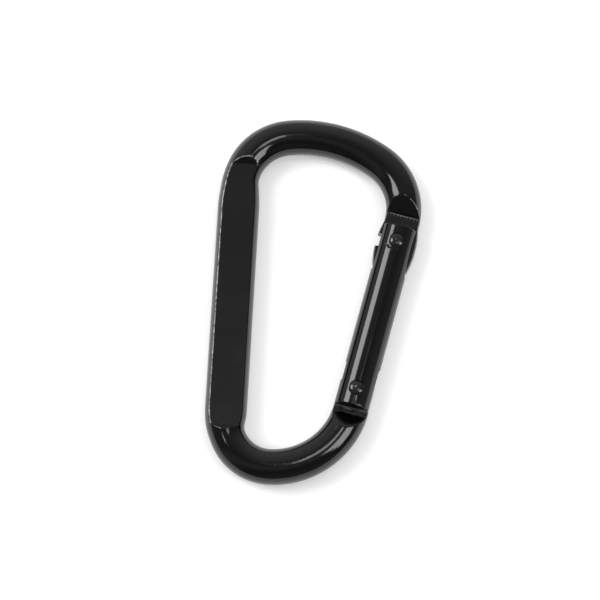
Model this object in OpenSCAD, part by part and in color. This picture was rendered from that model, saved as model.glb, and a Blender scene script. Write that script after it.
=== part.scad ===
// Small carabiner keyring: a bent and pressed aluminium rod, closed by a sprung gate.
// It lies flat. +Y runs along the spine to the wide end, +X points from the spine to the gate
// and +Z is up. The origin is at the middle of the outline, on the surface it lies on.

/* [Body] */
// Overall length, along the spine
overall_length = 60; // [50:0.5:90]
// Overall width, from the spine's outer side to the nose's outer side
overall_width = 32.7; // [27:0.1:50]
// Diameter of the bent rod and of the gate
rod_d = 5.7; // [4.7:0.1:6.9]
// Width of the spine where the rod is pressed flat
spine_width = 6.7; // [6.3:0.1:8.4]
// Thickness of the spine across its two pressed flats
spine_thickness = 4.2; // [3.5:0.1:5.3]
// Angle between the gate and the spine, in degrees
gate_lean = 12; // [8:0.5:15]

/* [Bends, measured at the rod's centre] */
// Radius of the bend from the spine into the wide end
crown_bend_r = 8.7; // [7:0.1:11]
// Radius of the bend at the nose
nose_bend_r = 9.5; // [8:0.1:11]
// Radius of the bend from the spine into the narrow end
heel_bend_r = 7.3; // [6:0.1:9]

/* [Gate] */
// Length of gate past the latch rivet, towards the nose
gate_past_latch = 2.7; // [2.2:0.1:3.2]
// Length of gate past the hinge rivet, towards the narrow end
gate_past_hinge = 2.8; // [2.5:0.1:2.9]
// Distance from the latch rivet to the end of the nose bend
latch_setback = 3.7; // [3.3:0.1:4.5]
// Distance from the hinge rivet to the end of the foot bend
hinge_setback = 2.9; // [2.6:0.1:3.6]
// Width of the two saw cuts that take the nose and the tang
slot_w = 2.2; // [1.8:0.1:2.6]
// Depth of the nose's saw cut, past the latch rivet
nose_slot_depth = 5.1; // [4.6:0.1:7]
// Depth of the tang's saw cut, past the hinge rivet
tang_slot_depth = 4.3; // [4.2:0.1:5.5]
// Largest opening angle, in degrees, at which the gate's tip comes to the spine
gate_opening = 45; // [30:1:45]

/* [Rivets] */
// Diameter of a rivet's shank
rivet_d = 1.8; // [1.4:0.1:2.1]
// Diameter of a rivet's domed head
rivet_head_d = 2.1; // [1.9:0.1:2.5]
// Height of a rivet's dome above the gate's side
rivet_proud = 0.1; // [0.05:0.05:0.3]

/* [Spring and plunger] */
// Diameter of the plunger
plunger_d = 2.9; // [2.2:0.1:3.2]
// Length of the plunger's body
plunger_length = 4.2; // [3:0.1:5]
// Height of the tang's cam over the hinge rivet's axis
cam_height = 1.8; // [1.7:0.1:2.2]
// Diameter of the spring's wire
wire_d = 0.5; // [0.3:0.05:0.6]

/* [Hidden] */
$fn = 64;

// Clearances
hinge_clearance = 0.05;    // round the hinge rivet, in the tang
latch_clearance = 0.15;    // round the latch rivet, in the nose's notch
slot_clearance = 0.1;      // each side of the nose's fin and of the tang
fin_end_clearance = 0.3;   // from the fin's end to the bottom of its saw cut
seat_clearance = 0.02;     // between pieces that rest on each other
plunger_clearance = 0.08;  // round the plunger and the spring, in the bore

// Sizes across the rod and the gate
rod_r = rod_d / 2;
spine_r = spine_width / 2;
mid_z = rod_r + rivet_proud;
outside = rod_d;           // reach of a cutter that has to clear the rod's side
fin_half = slot_w / 2 - slot_clearance;

// The rod's centre line, as turns from the spine. The crown bend and the nose bend keep their
// own radii, and the long bend between them takes the width that is left.
crown_turn = 82;
long_turn = 41.5;
nose_turn = 180 + gate_lean - crown_turn - long_turn;
heading_1 = 90 - crown_turn;
heading_2 = heading_1 - long_turn;
spine_x = spine_r - overall_width / 2;
reach = overall_width - spine_r - rod_r;
crown_reach = crown_bend_r * (1 - sin(heading_1));
nose_reach = nose_bend_r * (1 + sin(heading_2));
long_bend_r = (reach - crown_reach - nose_reach) / (sin(heading_1) - sin(heading_2));
crown_rise = crown_bend_r * cos(heading_1) + long_bend_r * (1 - cos(heading_1));
spine_top = overall_length / 2 - rod_r - crown_rise;
spine_foot = heel_bend_r + rod_r - overall_length / 2;

// Where a rod ends that starts at p with a heading and turns along a bend, clockwise positive
function bend_end(p, heading, r, turn) = let (last = heading - turn, side = sign(turn))
    p + side * r * [sin(heading) - sin(last), cos(last) - cos(heading)];

crown_start = [spine_x, spine_top];
long_start = bend_end(crown_start, 90, crown_bend_r, crown_turn);
nose_start = bend_end(long_start, heading_1, long_bend_r, long_turn);
nose_end = bend_end(nose_start, heading_2, nose_bend_r, nose_turn);

// The foot bend takes the radius that brings the rod round onto the gate's own line.
gate_side = [cos(gate_lean), -sin(gate_lean)];
gate_along = [sin(gate_lean), cos(gate_lean)];
heel_start = [spine_x, spine_foot];
foot_start = bend_end(heel_start, -90, heel_bend_r, -90);
foot_turn = 90 - gate_lean;
foot_bend_r = (nose_end - foot_start) * gate_side / (1 - sin(gate_lean));
foot_end = bend_end(foot_start, 0, foot_bend_r, -foot_turn);

// Places along the gate, counted from the hinge rivet's axis
hinge_at = foot_end + hinge_setback * gate_along;
rivet_pitch = norm(nose_end - foot_end) - hinge_setback - latch_setback;
gate_top = rivet_pitch + gate_past_latch;
fin_end = rivet_pitch - nose_slot_depth + fin_end_clearance;
rivet_hole_r = rivet_d / 2 + 0.01;
head_r = rivet_head_d / 2;
recess_depth = 0.25;
recess_r = head_r + 0.2;

// The pressed flats of the spine, and the ramps that they run out in
flat_z = spine_thickness / 2;
flat_top_run = 3.2;        // past the start of the crown bend
flat_foot_run = 1.2;       // past the start of the heel bend
top_ramp = 1.2;
foot_ramp = 0.75;
spread_length = 7;         // length over which the pressed width comes down to the rod's
station_turn = 6;          // degrees of bend from one station of the rod to the next
spine_steps = 24;
rod_sides = 30;

// The ramps at the fin and the tang, measured from the bend next to them
nose_ramp_start = 0.7;
nose_ramp = 3.1;
tang_ramp_start = 1.2;
tang_ramp = 2.4;

// The nose's fin, which is pressed a little wider than the rod
fin_bulge = 0.45;
fin_bulge_r = 15;
fin_corner_r = 1.8;
notch_r = rivet_d / 2 + latch_clearance;

// The tang's cam is an involute, so the plunger's travel is the arm times the opening angle.
plunger_edge = 0.12;
plunger_r = plunger_d / 2;
bore_r = plunger_r + plunger_clearance;
cam_arm = plunger_r - plunger_edge - 0.08;
cam_step = 3;
tang_corner_r = 0.8;
tang_side = rod_r - 0.1;

function turned(p, a) = [p[0] * cos(a) - p[1] * sin(a), p[0] * sin(a) + p[1] * cos(a)];
function cam_lift(a) = cam_arm * a * PI / 180;
function cam_point(a) = turned([-cam_arm, cam_height + cam_lift(a)], a);

// The bore, the plunger in it and the spring behind the plunger
bore_web = 4;              // solid metal between the bore and the nose's saw cut
bore_end = rivet_pitch - nose_slot_depth - bore_web;
plunger_foot = cam_height + seat_clearance;
plunger_top = plunger_foot + plunger_length;
spigot_length = 1;
spring_r = bore_r - plunger_clearance - wire_d / 2;
spigot_r = spring_r - wire_d / 2 - 0.1;
spring_length = bore_end - plunger_top - 2 * seat_clearance;
coil_pitch = 1.9;          // in wire diameters
coils = max(2, floor((spring_length - wire_d) / (wire_d * coil_pitch)));
coil_steps = 16;
wire_sides = 8;
sleeve_w = 4 * rod_d;      // reach of a cutter that runs past the gate's end

// Puts things drawn with X across the gate and Y along it at the hinge rivet
module at_gate() {
    translate([hinge_at[0], hinge_at[1], mid_z]) rotate([0, 0, -gate_lean]) children();
}

module along_y() {
    rotate([-90, 0, 0]) children();
}

// The pressed spine is wider than the rod, and its width runs out past the start of each bend
function spread(past_bend, run) = let (t = (run - past_bend) / spread_length)
    rod_r + (spine_r - rod_r) * (1 - cos(180 * min(1, max(0, t)))) / 2;

// Stations along a bend, each a point, the way the rod heads there and its radius
function bend_path(start, heading, r, turn, run) = let (steps = ceil(abs(turn) / station_turn))
    [for (i = [0 : steps]) let (a = turn * i / steps)
        [bend_end(start, heading, r, a), heading - a, spread(r * abs(a) * PI / 180, run)]];

// Stations down the spine, from its top to its foot, close together where the width changes
function spine_path() = [for (i = [1 : spine_steps - 1])
    let (y = spine_top + (spine_foot - spine_top) * i / spine_steps)
        [[spine_x, y], -90, min(spread(y - spine_top, flat_top_run),
                                spread(spine_foot - y, flat_foot_run))]];

function backwards(path) = [for (i = [len(path) - 1 : -1 : 0])
    [path[i][0], path[i][1] + 180, path[i][2]]];

function without_first(path) = [for (i = [1 : len(path) - 1]) path[i]];

// The whole bent rod, from the nose round the spine to the foot
module rod() {
    no_run = -overall_length;
    nose = without_first(bend_path(nose_start, heading_2, nose_bend_r, nose_turn, no_run));
    long = without_first(bend_path(long_start, heading_1, long_bend_r, long_turn, no_run));
    crown = bend_path(crown_start, 90, crown_bend_r, crown_turn, flat_top_run);
    heel = bend_path(heel_start, -90, heel_bend_r, -90, flat_foot_run);
    foot = without_first(bend_path(foot_start, 0, foot_bend_r, -foot_turn, no_run));
    path = concat(backwards(concat(crown, long, nose)), spine_path(), heel, foot);
    last = len(path) - 1;
    points = [for (s = path, k = [0 : rod_sides - 1]) let (b = 360 * k / rod_sides, out = s[2] * cos(b))
        [s[0][0] + out * sin(s[1]), s[0][1] - out * cos(s[1]), s[2] * sin(b)]];
    sides = [for (i = [0 : last - 1], k = [0 : rod_sides - 1])
        let (next = (k + 1) % rod_sides, here = i * rod_sides, there = here + rod_sides)
            [here + k, here + next, there + next, there + k]];
    ends = [[for (k = [rod_sides - 1 : -1 : 0]) k],
            [for (k = [0 : rod_sides - 1]) last * rod_sides + k]];
    translate([0, 0, mid_z])
        polyhedron(points = points, faces = concat(sides, ends), convexity = 10);
}

// What the press takes off one side of the spine, with a ramp at each end
module flat_cutter() {
    foot = spine_foot - flat_foot_run;
    top = spine_top + flat_top_run;
    rise = rod_r - flat_z;
    past = 1;
    foot_slope = foot_ramp / rise;
    top_slope = top_ramp / rise;
    translate([spine_x - rod_d, 0, mid_z])
        rotate([90, 0, 90])
            linear_extrude(height = 2 * rod_d)
                polygon([[foot, flat_z], [top, flat_z],
                         [top + (rise + past) * top_slope, rod_r + past],
                         [foot - (rise + past) * foot_slope, rod_r + past]]);
}

// What is pressed off one side of the rod's end to leave a fin, drawn towards +Y
module fin_cutter(from, ramp_start, ramp) {
    rise = rod_r - fin_half;
    past = 1;
    slope = ramp / rise;
    translate([-outside, 0, 0])
        rotate([90, 0, 90])
            linear_extrude(height = 2 * outside)
                polygon([[from, fin_half], [ramp_start, fin_half],
                         [ramp_start + (rise + past) * slope, rod_r + past],
                         [from, rod_r + past]]);
}

module both_sides() {
    children();
    mirror([0, 0, 1]) children();
}

// Outline of the fin: two shallow arcs, a rounded end and the open notch for the latch rivet
module fin_outline() {
    half_w = rod_r + fin_bulge;
    middle = rivet_pitch - 0.5;
    top = rivet_pitch + latch_setback + 1;
    difference() {
        intersection() {
            translate([half_w - fin_bulge_r, middle]) circle(r = fin_bulge_r, $fn = 360);
            translate([fin_bulge_r - half_w, middle]) circle(r = fin_bulge_r, $fn = 360);
            union() {
                translate([-half_w, fin_end + fin_corner_r])
                    square([2 * half_w, top - fin_end - fin_corner_r]);
                translate([fin_corner_r - half_w, fin_end])
                    square([2 * (half_w - fin_corner_r), top - fin_end]);
                for (side = [-1, 1])
                    translate([side * (half_w - fin_corner_r), fin_end + fin_corner_r])
                        circle(r = fin_corner_r);
            }
        }
        notch();
    }
}

// The notch follows the arc that the latch rivet swings through, and is open to the inside
module notch() {
    translate([0, rivet_pitch]) circle(r = notch_r);
    intersection() {
        difference() {
            circle(r = rivet_pitch + notch_r, $fn = 360);
            circle(r = rivet_pitch - notch_r, $fn = 360);
        }
        translate([-sleeve_w, 0]) square([sleeve_w, 2 * rivet_pitch]);
    }
}

// Outline of the tang, with its involute cam towards the inside
module tang_outline() {
    foot = -hinge_setback - 1;
    inner = cam_point(gate_opening)[0];
    corner = [tang_side - tang_corner_r, cam_height - tang_corner_r];
    polygon(concat(
        [for (a = [0 : cam_step : gate_opening]) cam_point(a)],
        [[inner, foot], [tang_side, foot]],
        [for (a = [0 : 10 : 90]) corner + tang_corner_r * [cos(a), sin(a)]]));
}

module fin_blanks() {
    at_gate() {
        translate([0, 0, -fin_half - 0.2]) linear_extrude(height = 2 * fin_half + 0.4) {
            fin_outline();
            tang_outline();
        }
    }
}

module body() {
    color([0.11, 0.11, 0.12])
    difference() {
        union() {
            rod();
            fin_blanks();
        }
        flat_cutter();
        translate([0, 0, 2 * mid_z]) mirror([0, 0, 1]) flat_cutter();
        at_gate() {
            both_sides() {
                fin_cutter(fin_end - 1, rivet_pitch + latch_setback + nose_ramp_start, nose_ramp);
                mirror([0, 1, 0])
                    fin_cutter(-cam_height - 1, hinge_setback + tang_ramp_start, tang_ramp);
            }
            translate([0, 0, -rod_r])
                cylinder(r = rivet_d / 2 + hinge_clearance, h = rod_d);
        }
    }
}

// Outline of the gate, turned about its own length, with a small chamfer at both ends
module gate_half() {
    edge = 0.3;
    polygon([[0, -gate_past_hinge], [rod_r - edge, -gate_past_hinge],
             [rod_r, edge - gate_past_hinge], [rod_r, gate_top - edge],
             [rod_r - edge, gate_top], [0, gate_top]]);
}

module saw_cut(from, to) {
    translate([-outside, from, -slot_w / 2]) cube([2 * outside, to - from, slot_w]);
}

module rivet_seat(y) {
    translate([0, y, -rod_d]) cylinder(r = rivet_hole_r, h = 2 * rod_d);
    both_sides() translate([0, y, rod_r - recess_depth]) cylinder(r = recess_r, h = rod_r);
}

module gate() {
    color([0.12, 0.12, 0.13])
    at_gate() difference() {
        along_y() rotate_extrude() gate_half();
        saw_cut(rivet_pitch - nose_slot_depth, gate_top + 1);
        saw_cut(-gate_past_hinge - 1, tang_slot_depth);
        translate([0, -gate_past_hinge - 1, 0])
            along_y() cylinder(r = bore_r, h = bore_end + gate_past_hinge + 1);
        rivet_seat(0);
        rivet_seat(rivet_pitch);
    }
}

// A rivet across the gate: a shank with a low dome upset on each end
module rivet() {
    seat = rod_r - recess_depth;
    rim = 0.12;
    dome = recess_depth + rivet_proud - rim;
    dome_r = (head_r * head_r + dome * dome) / (2 * dome);
    cylinder(r = rivet_d / 2, h = 2 * seat, center = true);
    both_sides() rotate_extrude() {
        translate([0, seat]) square([head_r, rim]);
        intersection() {
            translate([0, seat + rim - 0.01]) square([head_r, dome + 0.01]);
            translate([0, seat + rim + dome - dome_r]) circle(r = dome_r, $fn = 360);
        }
    }
}

module hinge_rivet() {
    color([0.16, 0.16, 0.17]) at_gate() rivet();
}

module latch_rivet() {
    color([0.16, 0.16, 0.17]) at_gate() translate([0, rivet_pitch, 0]) rivet();
}

// The plunger, with a chamfered foot that rides on the cam and a spigot inside the spring
module plunger() {
    color([0.62, 0.62, 0.64])
    at_gate() translate([0, plunger_foot, 0])
        along_y() rotate_extrude()
            polygon([[0, 0], [plunger_r - plunger_edge, 0], [plunger_r, plunger_edge],
                     [plunger_r, plunger_length - plunger_edge],
                     [plunger_r - plunger_edge, plunger_length],
                     [spigot_r, plunger_length],
                     [spigot_r, plunger_length + spigot_length],
                     [0, plunger_length + spigot_length]]);
}

// The spring: a ring of points round the wire at each step along the coil
module spring() {
    wire_r = wire_d / 2;
    steps = coils * coil_steps;
    rise = spring_length - wire_d;
    slope = atan(rise / (coils * 2 * PI * spring_r));
    rings = [for (i = [0 : steps]) let (a = 360 * i / coil_steps, y = rise * i / steps)
        [for (k = [0 : wire_sides - 1]) let (b = 360 * k / wire_sides,
                                             out = wire_r * cos(b), up = wire_r * sin(b))
            [(spring_r + out) * cos(a) + up * sin(slope) * sin(a),
             y + up * cos(slope),
             -(spring_r + out) * sin(a) + up * sin(slope) * cos(a)]]];
    points = [for (ring = rings) each ring];
    sides = [for (i = [0 : steps - 1], k = [0 : wire_sides - 1])
        let (next = (k + 1) % wire_sides, here = i * wire_sides, there = here + wire_sides)
            [here + k, here + next, there + next, there + k]];
    ends = [[for (k = [wire_sides - 1 : -1 : 0]) k],
            [for (k = [0 : wire_sides - 1]) steps * wire_sides + k]];
    color([0.7, 0.7, 0.72])
    at_gate() translate([0, plunger_top + seat_clearance + wire_r, 0])
        polyhedron(points = points, faces = concat(sides, ends), convexity = 10);
}

body();
gate();
hinge_rivet();
latch_rivet();
spring();
plunger();
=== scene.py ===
import math

import bmesh
import bpy
import numpy as np
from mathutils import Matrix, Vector


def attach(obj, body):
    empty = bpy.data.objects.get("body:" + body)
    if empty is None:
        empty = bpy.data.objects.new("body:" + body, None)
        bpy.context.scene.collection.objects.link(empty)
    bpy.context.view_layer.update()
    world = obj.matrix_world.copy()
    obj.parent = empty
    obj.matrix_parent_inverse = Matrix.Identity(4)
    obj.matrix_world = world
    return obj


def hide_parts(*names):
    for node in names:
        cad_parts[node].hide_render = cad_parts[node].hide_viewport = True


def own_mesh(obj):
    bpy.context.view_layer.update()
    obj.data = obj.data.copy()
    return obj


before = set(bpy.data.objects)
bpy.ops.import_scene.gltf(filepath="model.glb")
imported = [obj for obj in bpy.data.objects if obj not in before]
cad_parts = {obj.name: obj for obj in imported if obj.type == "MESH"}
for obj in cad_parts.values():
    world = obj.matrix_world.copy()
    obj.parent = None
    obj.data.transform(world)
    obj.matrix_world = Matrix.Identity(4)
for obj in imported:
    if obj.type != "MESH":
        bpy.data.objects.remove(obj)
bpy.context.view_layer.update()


# ---------------------------------------------------------------- the camera
# The object lies on a pale table and is seen from above, a little from the narrow end,
# through a long lens.
elevation, azimuth, distance = math.radians(76), math.radians(3.16), 0.46
back = Vector((math.sin(azimuth) * math.cos(elevation),
               -math.cos(azimuth) * math.cos(elevation), math.sin(elevation)))
right = Vector((math.cos(azimuth), math.sin(azimuth), 0))
above = back.cross(right)
looked_at = Vector((0, 0, 0.00295)) - right * 0.0023 + above * 0.00022
camera = bpy.data.objects.new("camera", bpy.data.cameras.new("camera"))
bpy.context.scene.collection.objects.link(camera)
camera.data.lens = 173.3
camera.data.sensor_width = 36
camera.data.clip_start, camera.data.clip_end = 0.01, 20
camera.location = looked_at + back * distance
camera.rotation_mode = "QUATERNION"
camera.rotation_quaternion = (-back).to_track_quat("-Z", "Y")
bpy.context.scene.camera = camera


# ---------------------------------------------------------------- the body
# One aluminium rod, bent to a D and pressed: flat on the spine, to a thin fin at the nose
# and to a thin tang at the narrow end. The fin is notched for the latch rivet and the tang
# is drilled for the hinge rivet. It is tumbled smooth and coated gloss black.
# Sizes are in mm: u runs up the gate from the hinge, v across it, and s along the rod.
rod_r, spine_r, mid_z = 2.85, 3.35, 2.95
hinge, pitch, lean = np.array([7.35417, -14.2306]), 24.8613, math.radians(12)
along = np.array([math.sin(lean), math.cos(lean)])
across = np.array([math.cos(lean), -math.sin(lean)])
fin_u, fin_length, fin_z, fin_corner_r = 20.0613, 8.5, 1.0, 1.8
bulge_u, bulge_w, bulge_r = 24.36, 3.3, 15.0
tang_u, tang_length, tang_trim, tang_corner_r = 1.8, 4.7, 0.1, 0.8
cam_r, cam_turn = 1.25, math.pi / 4
panel_z, panel_foot, panel_top = 2.1, -21.05, 21.527
panel_foot_slope, panel_top_slope = 1.0, 0.625
spread_before, spread_run, narrow_after, narrow_run = 3.2, 7, 3.4, 5
nose_ramp_u, nose_slope = 29.55, 1.85 / 2.81
tang_ramp_u, tang_slope = 4.1, 1.85 / 2.4
end_round, crease_blend, unpressed, spine_side = 0.12, 0.11, 9.0, -7

# The path runs from the fin's end round to the tang's. Each leg has the degrees that it
# turns and its radius, or no turn and its length
turns = [(0, fin_length), (68.5, 9.5), (41.5, 21.3486), (82, 8.7), (0, 38.1769),
         (90, 7.3), (78, 12.7294), (0, tang_length)]
legs = [(math.radians(turn) * size, size) if turn else (size, 0) for turn, size in turns]
leg_start = np.cumsum([0] + [leg[0] for leg in legs])
spine_top, spine_foot, path_end = leg_start[4], leg_start[5], leg_start[8]


def place(s):
    """Point on the rod's centre line and its heading, at distance s from the fin's end."""
    p, heading = hinge + along * fin_u, math.pi / 2 - lean
    for length, radius in legs:
        run = min(s, length)
        if radius:
            turned = heading + run / radius
            p = p + radius * np.array([math.sin(turned) - math.sin(heading),
                                       math.cos(heading) - math.cos(turned)])
            heading = turned
        else:
            p = p + run * np.array([math.cos(heading), math.sin(heading)])
        s -= run
        if s <= 0:
            break
    return p, heading


def on_gate_line(x, y):
    """Distances u and v of a place, and whether it is near the nose or near the tang."""
    offset = np.array([x, y]) - hinge
    return offset @ along, offset @ across, x > 0 and y > 5, x > 0 and y < -10


def eased(t):
    t = np.clip(t, 0, 1)
    return (1 - np.cos(np.pi * t)) / 2


def pressed(s):
    """How far the press has spread the rod here, from 0 to 1."""
    return float(min(eased((s - spine_top + spread_before) / spread_run),
                     eased((spine_foot - s + narrow_after) / narrow_run)))


def press_height(x, y):
    """Half thickness that the dies leave at a place."""
    u, _, near_nose, near_tang = on_gate_line(x, y)
    flat = panel_z + max(0, y - panel_top) * panel_top_slope
    flat += max(0, panel_foot - y) * panel_foot_slope
    if x > spine_side:
        flat = unpressed
    if near_nose:
        flat = min(flat, fin_z + max(0, u - nose_ramp_u) * nose_slope)
    if near_tang:
        flat = min(flat, fin_z + max(0, -u - tang_ramp_u) * tang_slope)
    return flat


# The cam's curve on the tang, which lifts the plunger evenly as the gate turns against it
cam_angles = np.linspace(0, cam_turn, 40)
cam_lift = tang_u + cam_r * cam_angles
cam_left = tang_u - cam_lift * np.cos(cam_angles) + cam_r * np.sin(cam_angles)
cam_inner = cam_lift * np.sin(cam_angles) + cam_r * np.cos(cam_angles)


def rounded(width, corner_r, left):
    """Half width of an end with a rounded corner, at a distance left to the end."""
    return width - corner_r + math.sqrt(max(0, corner_r**2 - (corner_r - left)**2))


def half_widths(s, radius):
    """How far the outline reaches outwards and inwards from the centre line."""
    outer = inner = radius
    if s < fin_length:
        bulge = bulge_w - bulge_r + math.sqrt(bulge_r**2 - (fin_u + s - bulge_u)**2)
        outer = inner = max(radius, bulge)
        if s < fin_corner_r:
            outer = inner = min(outer, rounded(bulge_w, fin_corner_r, s))
    left = path_end - s
    if left < tang_length:
        outer = radius - tang_trim
        if left < tang_corner_r:
            outer = rounded(outer, tang_corner_r, left)
        if left < cam_left[-1]:
            inner = float(np.interp(left, cam_left, cam_inner))
    return outer, inner


def softer_min(a, b, blend):
    gap = max(blend - abs(a - b), 0)
    return min(a, b) - gap * gap / (4 * blend)


def die_marks(u, v, near_nose, near_tang):
    """Depth of the marks that the dies left on the pressed ends."""
    if near_nose:
        # The die chattered as it struck, and left a row of small ripples at the ramp's foot
        ripple = 0.5 + 0.5 * math.cos(2 * math.pi * (v + 0.04 * math.sin(3 * v)) / 0.53)
        return 0.15 * ripple * math.exp(-((u - 29.35) / 0.33) ** 2)
    if near_tang:
        # Two gouges across the tang, where the die's edge dug in below the gate
        return (0.09 * math.exp(-((u + 3.4 - 0.06 * v) / 0.12) ** 2)
                + 0.06 * math.exp(-((u + 3.95 + 0.05 * v) / 0.1) ** 2))
    return 0.0


def rubbed_and_highlit(x, y, u, v, near_nose, gap):
    """How much bare metal shows, by how near the crease a place is: rubbed coat on the creases of the
    spine's top ramp, the nose ramp and the fin, and a painted highlight along the spine's left crease.
    """
    # The spine's left crease alone gets bare metal along its length: a painted highlight standing in for
    # the left softbox's reflection on the crease's rounding.
    if x < -13.5 and -21 < y < 21.6:
        amount, reach = 0.75, 0.09
    elif (y > 21.6 and x < spine_side) or (near_nose and u > 29.3 and v > 0.4):
        amount, reach = 1.0, 0.04
    elif near_nose and 23.5 < u < 29.3:
        amount, reach = 0.7, 0.04
    else:
        return 0.0
    return amount * math.exp(-(gap / reach) ** 2)


def crease_angle(spot, inner_side):
    """The angle at which the die's flat begins on one side, found by halving."""
    low, high = 0.0, math.pi / 2
    for _ in range(16):
        middle = (low + high) / 2
        flat, rise = spot(math.pi - middle if inner_side else middle)[2:]
        low, high = (middle, high) if rise < flat else (low, middle)
    return min(low, math.pi / 2 - 0.1)


# Points round the section: up each side, round each crease, and across the flat between
side_points, crease_points, top_points, crease_reach = 14, 6, 74, 0.055


def section(s):
    """The rod's outline at distance s, with how much rubbed coat and painted highlight, and how flat,
    each point is.
    """
    p, heading = place(s)
    out = np.array([math.sin(heading), -math.cos(heading)])
    radius = rod_r + (spine_r - rod_r) * pressed(s)
    outer, inner = half_widths(s, radius)
    end = min(s, path_end - s)
    inset = end_round - math.sqrt(max(0, end_round**2 - max(0, end_round - end)**2))

    def spot(angle):
        """Place, die height and unpressed height at an angle round the section."""
        reach = math.cos(angle)
        side = reach * (outer if reach > 0 else inner)
        side -= math.copysign(min(abs(side), inset), side)
        x, y = p + out * side
        return x, y, press_height(x, y) - inset, radius * math.sin(angle)

    first, last = crease_angle(spot, False), math.pi - crease_angle(spot, True)
    marks = [0, first - crease_reach, first + crease_reach,
             last - crease_reach, last + crease_reach, math.pi]
    counts = [side_points, crease_points, top_points, crease_points, side_points]
    angles = [a for i, n in enumerate(counts)
              for a in np.linspace(marks[i], marks[i + 1], n + 1)[:-1]]
    ring, rub_and_highlight, press = [], [], []
    for angle in angles + [math.pi] + [2 * math.pi - a for a in reversed(angles[1:])]:
        x, y, flat, rise = spot(angle)
        rise = abs(rise)
        u, v, near_nose, near_tang = on_gate_line(x, y)
        on_flat = float(np.clip((rise - flat) / 0.1, 0, 1))
        z = softer_min(rise, flat, crease_blend) - on_flat * die_marks(u, v, near_nose, near_tang)
        z *= 1 if angle <= math.pi else -1
        ring.append((x * 0.001, y * 0.001, (mid_z + z) * 0.001))
        # Rubbed coat on the creases, and a painted highlight along the spine's left crease
        rub_and_highlight.append(rubbed_and_highlit(x, y, u, v, near_nose, rise - flat))
        press.append(on_flat)
    return ring, rub_and_highlight, press


# Where each stretch of the rod starts, and how far apart its sections are: close together
# at the ends, the ramps and the ripples
stretches = [(0, 0.05), (0.35, 0.12), (fin_corner_r, 0.3), (8.4, 0.07), (9.8, 0.12), (13.2, 0.45),
             (spine_top - 5.5, 0.09), (spine_top - 2, 0.55), (spine_foot + 0.8, 0.08),
             (spine_foot + 2.6, 0.45), (path_end - tang_length - 4.2, 0.1),
             (path_end - tang_length - 0.7, 0.25), (path_end - 0.8, 0.05), (path_end, 0)]
distances = []
for (start, step), (stop, _) in zip(stretches, stretches[1:]):
    steps = max(1, math.ceil((stop - start) / step))
    distances += list(np.linspace(start, stop, steps + 1))[:-1]
sections = [section(s) for s in distances + [path_end]]


def facing_out(obj):
    """Turns every face of a closed mesh to face outwards."""
    bm = bmesh.new()
    bm.from_mesh(obj.data)
    bmesh.ops.recalc_face_normals(bm, faces=bm.faces)
    bm.to_mesh(obj.data)
    bm.free()


def new_piece(name, points, faces):
    """An object in the scene with this mesh."""
    mesh = bpy.data.meshes.new(name)
    mesh.from_pydata(points, [], faces)
    piece = bpy.data.objects.new(name, mesh)
    bpy.context.scene.collection.objects.link(piece)
    return piece


def skin(name, rings):
    """A closed piece over rings of points, each ring with the same number."""
    count = len(rings[0])
    faces = [(i * count + k, i * count + (k + 1) % count,
              (i + 1) * count + (k + 1) % count, (i + 1) * count + k)
             for i in range(len(rings) - 1) for k in range(count)]
    faces += [tuple(range(count - 1, -1, -1)),
              tuple((len(rings) - 1) * count + k for k in range(count))]
    piece = new_piece(name, [p for ring in rings for p in ring], faces)
    facing_out(piece)
    return piece


def prism(name, outline, low, high):
    """A cutter: an outline of (v, u) points between two heights from the middle."""
    n = len(outline)
    flat = [hinge + across * v + along * u for v, u in outline]
    points = [(x * 0.001, y * 0.001, (mid_z + z) * 0.001) for z in (low, high) for x, y in flat]
    faces = [(i, (i + 1) % n, n + (i + 1) % n, n + i) for i in range(n)]
    faces += [tuple(range(n - 1, -1, -1)), tuple(range(n, 2 * n))]
    cutter = new_piece(name, points, faces)
    facing_out(cutter)
    return cutter


def circle(v, u, radius, steps=64):
    return [(v + radius * math.cos(2 * math.pi * i / steps),
             u + radius * math.sin(2 * math.pi * i / steps)) for i in range(steps)]


def cut(obj, cutters):
    """Takes the cutters' space out of a piece, and keeps the result as its mesh."""
    for cutter in cutters:
        modifier = obj.modifiers.new(cutter.name, "BOOLEAN")
        modifier.operation, modifier.solver, modifier.object = "DIFFERENCE", "EXACT", cutter
        result = bpy.data.meshes.new_from_object(
            obj.evaluated_get(bpy.context.evaluated_depsgraph_get()))
        obj.modifiers.clear()
        obj.data = result
        bpy.data.objects.remove(cutter)


def shaded(obj, sharp_above=38):
    obj.data.shade_smooth()
    obj.data.set_sharp_from_angle(angle=math.radians(sharp_above))


body = skin("body_rod", [ring for ring, rub_and_highlight, press in sections])
# The first layer holds the rubbed coat and, along the spine's left crease, a painted highlight.
for name, column in (("worn_edge_and_highlight", 1), ("pressed_flat", 2)):
    layer = body.data.attributes.new(name, "FLOAT", "POINT")
    values = np.array([parts[column] for parts in sections], np.float32)
    layer.data.foreach_set("value", values.ravel())

# The notch is a half circle round the latch rivet, and opens inwards along the rivet's swing
notch_r, notch_swing, slot_z, hinge_bore_r = 1.05, 0.2, 1.8, 0.95
notch = [(notch_r * math.sin(a), pitch + notch_r * math.cos(a)) for a in np.linspace(0, math.pi, 25)]
for side, swing in ((pitch - notch_r, (0.01, notch_swing)), (pitch + notch_r, (notch_swing, 0.01))):
    notch += [(-side * math.sin(a), side * math.cos(a)) for a in np.linspace(*swing, 16)]
cut(body, [prism("notch", notch, -slot_z, slot_z),
           prism("hinge_bore", circle(0, 0, hinge_bore_r), -slot_z, slot_z)])
shaded(body)


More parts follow.
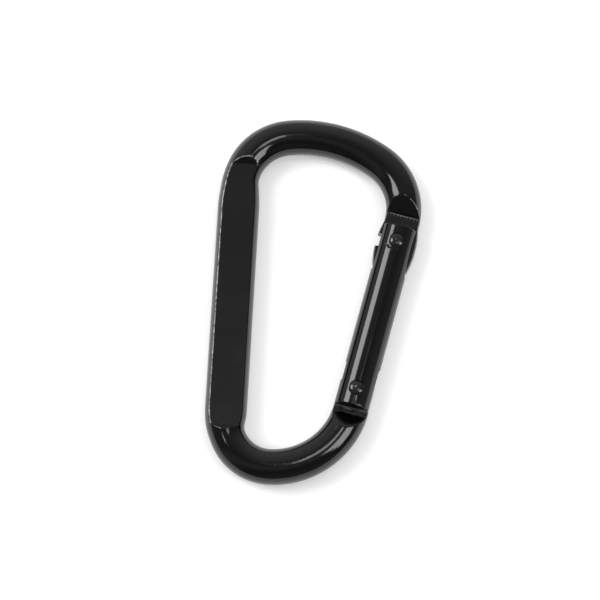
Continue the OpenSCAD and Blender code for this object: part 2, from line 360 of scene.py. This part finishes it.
def value_group(name, inputs, outputs):
    """An empty shader node group with float sockets, which are (name, default) inputs."""
    group = bpy.data.node_groups.new(name, "ShaderNodeTree")
    for socket, default in inputs:
        made = group.interface.new_socket(socket, in_out="INPUT", socket_type="NodeSocketFloat")
        made.default_value = default
    for socket in outputs:
        group.interface.new_socket(socket, in_out="OUTPUT", socket_type="NodeSocketFloat")
    return group, group.nodes.new("NodeGroupInput"), group.nodes.new("NodeGroupOutput")


def linked(tree, kind, inputs=(), **settings):
    """A node with its settings, and its inputs given as values or as sockets to link."""
    node = tree.nodes.new(kind)
    for key, value in settings.items():
        setattr(node, key, value)
    for key, value in dict(inputs).items():
        if isinstance(value, bpy.types.NodeSocket):
            tree.links.new(value, node.inputs[key])
        else:
            node.inputs[key].default_value = value
    return node


def noise(tree, scale, detail, roughness=0.5):
    """Noise over the piece's own surface, from 0 to 1."""
    place_node = linked(tree, "ShaderNodeTexCoord")
    return linked(tree, "ShaderNodeTexNoise", {"Vector": place_node.outputs["Object"],
                  "Scale": scale, "Detail": detail, "Roughness": roughness}).outputs["Fac"]


def spread(tree, value, low, high, to_low=0.0, to_high=1.0):
    """A value's range from low to high, mapped to another range."""
    return linked(tree, "ShaderNodeMapRange", {"Value": value, "From Min": low, "From Max": high,
                  "To Min": to_low, "To Max": to_high}).outputs["Result"]


def sum_or_product(tree, operation, a, b):
    """Two values added or multiplied, as the operation says."""
    return linked(tree, "ShaderNodeMath", {0: a, 1: b}, operation=operation).outputs["Value"]


def mixed_colour(tree, factor, low, high):
    """A colour between two, which are given as (red, green, blue, 1) or as a socket."""
    colour_a, colour_b, colour_result = 6, 7, 2
    mix = linked(tree, "ShaderNodeMix", {"Factor": factor, colour_a: low, colour_b: high},
                 data_type="RGBA")
    return mix.outputs[colour_result]


# Sprayed coat: a fine orange peel with a few specks of dust caught in it
peel, peel_in, peel_out = value_group(
    "orange_peel", [("Peel Scale", 900.0), ("Dust Scale", 5000.0), ("Dust", 0.3)],
    ["Height", "Gloss Variation"])
wave = noise(peel, peel_in.outputs["Peel Scale"], 2.0)
dust = noise(peel, peel_in.outputs["Dust Scale"], 3.0, 0.7)
specks = sum_or_product(peel, "MULTIPLY", spread(peel, dust, 0.58, 0.8), peel_in.outputs["Dust"])
peel.links.new(sum_or_product(peel, "ADD", wave, specks), peel_out.inputs["Height"])
peel.links.new(noise(peel, 160.0, 4.0, 0.6), peel_out.inputs["Gloss Variation"])

# Rubbed edges and a painted highlight: where the coat has worn thin on a crease, and bare metal painted
# along the spine's left crease as its highlight, broken up along its length
wear_and_highlight, wear_and_highlight_in, wear_and_highlight_out = value_group(
    "rubbed_edge_and_highlight", [("Break Scale", 1400.0), ("Amount", 0.8)], ["Mask"])
edge_attribute = linked(wear_and_highlight, "ShaderNodeAttribute", attribute_name="worn_edge_and_highlight")
broken = spread(wear_and_highlight, noise(wear_and_highlight, wear_and_highlight_in.outputs["Break Scale"], 3.0, 0.65), 0.38, 0.6)
on_edge = sum_or_product(wear_and_highlight, "MULTIPLY", edge_attribute.outputs["Fac"], broken)
amount = linked(wear_and_highlight, "ShaderNodeMath", {0: on_edge, 1: wear_and_highlight_in.outputs["Amount"]},
                operation="MULTIPLY", use_clamp=True)
wear_and_highlight.links.new(amount.outputs["Value"], wear_and_highlight_out.inputs["Mask"])


def new_material(name):
    material = bpy.data.materials.new(name)
    material.use_nodes = True
    return material, material.node_tree, material.node_tree.nodes["Principled BSDF"]


coat, tree, shader = new_material("gloss_black_coat")
shader.inputs["IOR"].default_value = 1.52
coat_peel = linked(tree, "ShaderNodeGroup", node_tree=peel)
coat_peel.inputs["Peel Scale"].default_value = 1100.0
coat_peel.inputs["Dust Scale"].default_value = 4200.0
coat_peel.inputs["Dust"].default_value = 0.5
coat_wear_and_highlight = linked(tree, "ShaderNodeGroup", node_tree=wear_and_highlight)
flat_attribute = linked(tree, "ShaderNodeAttribute", attribute_name="pressed_flat")
gloss = spread(tree, coat_peel.outputs["Gloss Variation"], 0.3, 0.7, 0.06, 0.11)
satin = sum_or_product(tree, "MULTIPLY", flat_attribute.outputs["Fac"], 0.12)
tree.links.new(sum_or_product(tree, "ADD", gloss, satin), shader.inputs["Roughness"])
tint = mixed_colour(tree, coat_peel.outputs["Gloss Variation"],
                    (0.0003, 0.0003, 0.0004, 1), (0.0012, 0.0012, 0.0013, 1))
# Bare grey metal, in colour and metallic, where the coat is rubbed; along the spine's left crease it is a
# painted highlight
bare_and_highlight = mixed_colour(tree, coat_wear_and_highlight.outputs["Mask"], tint, (0.62, 0.62, 0.62, 1))
tree.links.new(bare_and_highlight, shader.inputs["Base Color"])
tree.links.new(coat_wear_and_highlight.outputs["Mask"], shader.inputs["Metallic"])
coat_bump = linked(tree, "ShaderNodeBump", {"Height": coat_peel.outputs["Height"], "Strength": 0.35,
                   "Distance": 0.00002})
tree.links.new(coat_bump.outputs["Normal"], shader.inputs["Normal"])
body.data.materials.clear()
body.data.materials.append(coat)

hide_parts("body")
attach(body, "frame")


# ---------------------------------------------------------------- the gate
# A length of the same aluminium rod, bored from its lower end for the spring and plunger and
# slit at both ends, so that one end straddles the tang and the other closes over the fin.
# It is coated like the body. The press that headed the rivets has flattened its upper end.
gate_foot, gate_top, end_edge = -2.8, 27.5613, 0.22
slit_half, slit_top_end, slit_top_clear, slit_foot_end = 1.1, 19.7613, 29, 4.3
bore_end, bore_r, rivet_hole_r, seat_r, seat_z = 15.7613, 1.53, 0.91, 1.25, 2.6
around_gate, clear_of_gate = 240, 4
ends = [math.radians(a) for a in (0, 18, 36, 54, 72, 90)]
profile = [(gate_foot + end_edge * (1 - math.sin(a)), rod_r - end_edge * (1 - math.cos(a)))
           for a in reversed(ends)]
for start, stop, step in ((-2.45, -0.2, 0.12), (0.0, 21.5, 0.6), (21.6, 27.25, 0.09)):
    profile += [(u, rod_r) for u in np.arange(start, stop, step)]
profile += [(gate_top - end_edge * (1 - math.sin(a)), rod_r - end_edge * (1 - math.cos(a)))
            for a in ends]


def gate_surface(u, radius, angle):
    """A point of the gate's outside, with the dents that the riveting left."""
    v, z = radius * math.cos(angle), radius * math.sin(angle)
    squeezed = float(eased((u - pitch + 1.5) / 0.9)) * 0.03
    if z > 0 and squeezed > 0:
        z = softer_min(z, rod_r - squeezed, 0.3)
    if z > 0:
        # A slanted nick beside the latch rivet, and two shallow scores at the lower end
        a, b = v + 1.12, u - pitch + 1.12
        z -= 0.13 * math.exp(-((a * 0.35 + b) / 0.1) ** 2 - ((a - b * 0.35) / 0.42) ** 2)
        z -= 0.05 * math.exp(-((v - 0.3) / 0.2) ** 2 - ((u + 2.5) / 1.1) ** 2)
        z -= 0.06 * math.exp(-((v - 1.15) / 0.22) ** 2 - ((u + 2.8) / 0.75) ** 2)
    return v, u, z


def gate_point(v, u, z):
    x, y = hinge + across * v + along * u
    return x * 0.001, y * 0.001, (mid_z + z) * 0.001


def gate_ring(u, radius, steps=72):
    """A ring of points round the gate's own axis."""
    turns = [2 * math.pi * k / steps for k in range(steps)]
    return [gate_point(radius * math.cos(t), u, radius * math.sin(t)) for t in turns]


gate = skin("gate_tube", [[gate_point(*gate_surface(u, r, 2 * math.pi * k / around_gate))
                           for k in range(around_gate)] for u, r in profile])
slit_top = [(-clear_of_gate, slit_top_end), (clear_of_gate, slit_top_end),
            (clear_of_gate, slit_top_clear), (-clear_of_gate, slit_top_clear)]
slit_foot = [(-clear_of_gate, -clear_of_gate), (clear_of_gate, -clear_of_gate),
             (clear_of_gate, slit_foot_end), (-clear_of_gate, slit_foot_end)]
cutters = [prism("slit_top", slit_top, -slit_half, slit_half),
           prism("slit_foot", slit_foot, -slit_half, slit_half),
           skin("spring_bore", [gate_ring(u, bore_r) for u in (-clear_of_gate, bore_end)])]
for end in (0, pitch):
    cutters.append(prism("rivet_hole", circle(0, end, rivet_hole_r), -clear_of_gate, clear_of_gate))
    cutters.append(prism("rivet_seat_top", circle(0, end, seat_r, 96), seat_z, clear_of_gate))
    cutters.append(prism("rivet_seat_foot", circle(0, end, seat_r, 96), -clear_of_gate, -seat_z))
cut(gate, cutters)
shaded(gate)

gate_coat = coat.copy()
gate_coat.name = "gloss_black_gate_coat"
gate_coat.node_tree.nodes["Bump"].inputs["Strength"].default_value = 0.16
gate.data.materials.clear()
gate.data.materials.append(gate_coat)
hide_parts("gate")
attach(gate, "gate")


# ---------------------------------------------------------------- the two rivets
# Short steel pins through the gate: the hinge rivet also passes through the tang, and the
# latch rivet drops into the nose's notch. Both ends are headed over with a hollow punch,
# which leaves a low dome with a dimple, and they are blackened.
rivet_steel, tree, shader = new_material("blackened_rivet_steel")
shader.inputs["IOR"].default_value = 1.6
rivet_grain = noise(tree, 2600.0, 4.0, 0.6)
tree.links.new(spread(tree, rivet_grain, 0.3, 0.7, 0.08, 0.18), shader.inputs["Roughness"])
rivet_colour = mixed_colour(tree, rivet_grain, (0.002, 0.002, 0.0022, 1), (0.007, 0.007, 0.0075, 1))
tree.links.new(rivet_colour, shader.inputs["Base Color"])
rivet_bump = linked(tree, "ShaderNodeBump", {"Height": rivet_grain, "Strength": 0.3,
                    "Distance": 0.00003})
tree.links.new(rivet_bump.outputs["Normal"], shader.inputs["Normal"])

shank_r, head_r, rivet_top, dimple = 0.9, 1.05, 2.95, 0.055
head = [(shank_r, seat_z), (head_r - 0.03, seat_z), (head_r, seat_z + 0.03), (head_r, seat_z + 0.1)]
head += [(r, rivet_top - 0.25 * (r / head_r) ** 3.2 - dimple * math.exp(-(r / 0.3) ** 2))
         for r in (1.03, 0.99, 0.93, 0.86, 0.78, 0.7, 0.6, 0.52, 0.45, 0.38, 0.32, 0.26, 0.2, 0.14, 0.07)]
half = [(shank_r, 0.0), (shank_r, seat_z - 0.05)] + head
for name, node, u, twist in (("hinge_rivet_pin", "hinge_rivet", 0, 0.6),
                             ("latch_rivet_pin", "latch_rivet", pitch, 2.1)):
    rings = []
    for r, z in [(r, -z) for r, z in reversed(half[1:])] + half:
        ring = []
        for k in range(72):
            a = 2 * math.pi * k / 72
            # The punch never lands quite square, so each dome is a little lopsided
            tilt = 0.03 * (r / head_r) * math.cos(a - twist) if abs(z) > seat_z + 0.05 else 0
            ring.append(gate_point(r * math.cos(a), u + r * math.sin(a),
                                   z - math.copysign(abs(tilt), z)))
        rings.append(ring)
    rivet = skin(name, rings)
    shaded(rivet, 50)
    rivet.data.materials.append(rivet_steel)
    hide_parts(node)
    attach(rivet, "gate")


# ---------------------------------------------------------------- the spring
# A coil of spring steel wire in the gate's bore, its end turns closed up. It pushes the plunger down on
# the tang. The real spring shortens as the gate opens, but this one is built at a single length.
wire_r, coil_r, coils, spring_foot, spring_top = 0.25, 1.2, 9, 6.04, 15.7413
closed_share, cam_rise = 0.065, 0.982
turn_steps, wire_steps = 32, 12
rings = []
for i in range(coils * turn_steps + 1):
    turn = i / turn_steps
    share = np.interp(turn, [0, 1, coils - 1, coils], [0, closed_share, 1 - closed_share, 1])
    rise = spring_foot + wire_r + (spring_top - spring_foot - 2 * wire_r) * share
    ring = []
    for k in range(wire_steps):
        b = 2 * math.pi * k / wire_steps
        reach = coil_r + wire_r * math.cos(b)
        ring.append(gate_point(reach * math.cos(2 * math.pi * turn), rise + wire_r * math.sin(b),
                               -reach * math.sin(2 * math.pi * turn)))
    rings.append(ring)
spring = skin("coil_spring", rings)
shaded(spring, 60)


def bare_steel(name, grain_scale, detail, dark, light, rough_low, rough_high):
    """Bright uncoated steel, with a fine grain in its colour and its gloss."""
    steel, tree, shader = new_material(name)
    shader.inputs["Metallic"].default_value = 1.0
    grain = noise(tree, grain_scale, detail, 0.6)
    tree.links.new(mixed_colour(tree, grain, dark, light), shader.inputs["Base Color"])
    tree.links.new(spread(tree, grain, 0.3, 0.7, rough_low, rough_high), shader.inputs["Roughness"])
    return steel


spring.data.materials.append(bare_steel(
    "drawn_spring_wire", 3200.0, 3.0, (0.38, 0.38, 0.4, 1), (0.6, 0.6, 0.6, 1), 0.22, 0.38))
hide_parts("spring")
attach(spring, "gate")
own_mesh(spring)


# ---------------------------------------------------------------- the plunger
# A turned steel pin with a chamfered foot that rides on the tang's cam, and a spigot that
# holds the spring's end.
pin_r, pin_foot, pin_length, spigot_r = 1.45, 1.82, 4.2, 0.85
outline = [(0.2, 0), (1.33, 0), (1.36, 0.01), (1.43, 0.08), (pin_r, 0.12), (pin_r, 1.4), (pin_r, 2.8),
           (pin_r, 4.08), (1.43, 4.15), (1.36, 4.19), (1.33, pin_length), (spigot_r, pin_length),
           (spigot_r, 4.22), (spigot_r, 5.08), (0.83, 5.15), (0.76, 5.2), (0.2, 5.2)]
plunger = skin("plunger_pin", [gate_ring(pin_foot + u, r) for r, u in outline])
shaded(plunger, 30)
plunger.data.materials.append(bare_steel(
    "turned_plunger_steel", 2400.0, 5.0, (0.45, 0.45, 0.46, 1), (0.62, 0.62, 0.63, 1), 0.2, 0.36))
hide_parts("plunger")
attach(plunger, "plunger")


# ---------------------------------------------------------------- the table
# A white translucent board lit faintly from below, wide enough to fill every view from above.
board_half = 1.5
board = new_piece("table_board", [(-board_half, -board_half, 0), (board_half, -board_half, 0),
                                  (board_half, board_half, 0), (-board_half, board_half, 0)],
                  [(0, 1, 2, 3)])
board_white, tree, shader = new_material("white_board")
shader.inputs["Roughness"].default_value = 0.65
shader.inputs["Emission Color"].default_value = (1, 1, 1, 1)
shader.inputs["Emission Strength"].default_value = 0.22
board_colour = mixed_colour(tree, noise(tree, 30.0, 3.0), (0.86, 0.86, 0.865, 1), (0.88, 0.88, 0.885, 1))
tree.links.new(board_colour, shader.inputs["Base Color"])
board.data.materials.append(board_white)


# ---------------------------------------------------------------- the light
# Two softboxes face each other across the table, a small lamp hangs almost overhead, and a
# fill only softens the shadows. The room is pale beyond the wide end and dim to the right.
def softbox(name, tilt, turn, reach, size, radiance, colour=(1, 1, 1)):
    """A lamp aimed at the object, tilted from overhead and turned about it, in degrees."""
    lamp = bpy.data.lights.new(name, "AREA")
    lamp.shape = "RECTANGLE"
    lamp.size, lamp.size_y = size
    lamp.energy, lamp.color = radiance * math.pi * size[0] * size[1], colour
    holder = bpy.data.objects.new(name, lamp)
    bpy.context.scene.collection.objects.link(holder)
    holder.rotation_euler = (0, math.radians(tilt), math.radians(turn))
    bpy.context.view_layer.update()
    holder.location = holder.matrix_world.to_3x3() @ Vector((0, 0, reach))
    return holder


softbox("softbox_left", 43, 164, 0.8, (0.45, 0.44), 6.5, (1, 0.985, 0.965))
softbox("softbox_right", 44, -22, 0.8, (0.5, 0.26), 5.5, (1, 0.985, 0.965))
softbox("lamp_overhead", 8, 14, 1.0, (0.2, 0.24), 4)
fill = softbox("fill_overhead", 2, 90, 0.4, (0.5, 0.5), 0.7)
fill.visible_glossy = False
world = bpy.data.worlds.new("room")
bpy.context.scene.world = world
world.use_nodes = True
tree = world.node_tree
background = tree.nodes["Background"]
room_place = linked(tree, "ShaderNodeTexCoord")
room_side = linked(tree, "ShaderNodeVectorMath", {0: room_place.outputs["Generated"],
                   1: (-0.3, 0.95, 0)}, operation="DOT_PRODUCT")
room_share = linked(tree, "ShaderNodeMapRange", {"Value": room_side.outputs["Value"],
                    "From Min": -1.0, "From Max": 1.0})
walls = linked(tree, "ShaderNodeValToRGB", {"Fac": room_share.outputs["Result"]})
tones = [(0.0, 0.2), (0.18, 0.12), (0.34, 0.34), (0.5, 0.17), (0.62, 0.28), (0.8, 0.55), (1.0, 0.7)]
while len(walls.color_ramp.elements) < len(tones):
    walls.color_ramp.elements.new(0.5)
for element, (position, tone) in zip(walls.color_ramp.elements, tones):
    element.position, element.color = position, (tone, tone, tone, 1)
tree.links.new(walls.outputs["Color"], background.inputs["Color"])
background.inputs["Strength"].default_value = 1.0
bpy.context.scene.view_settings.view_transform = "Standard"
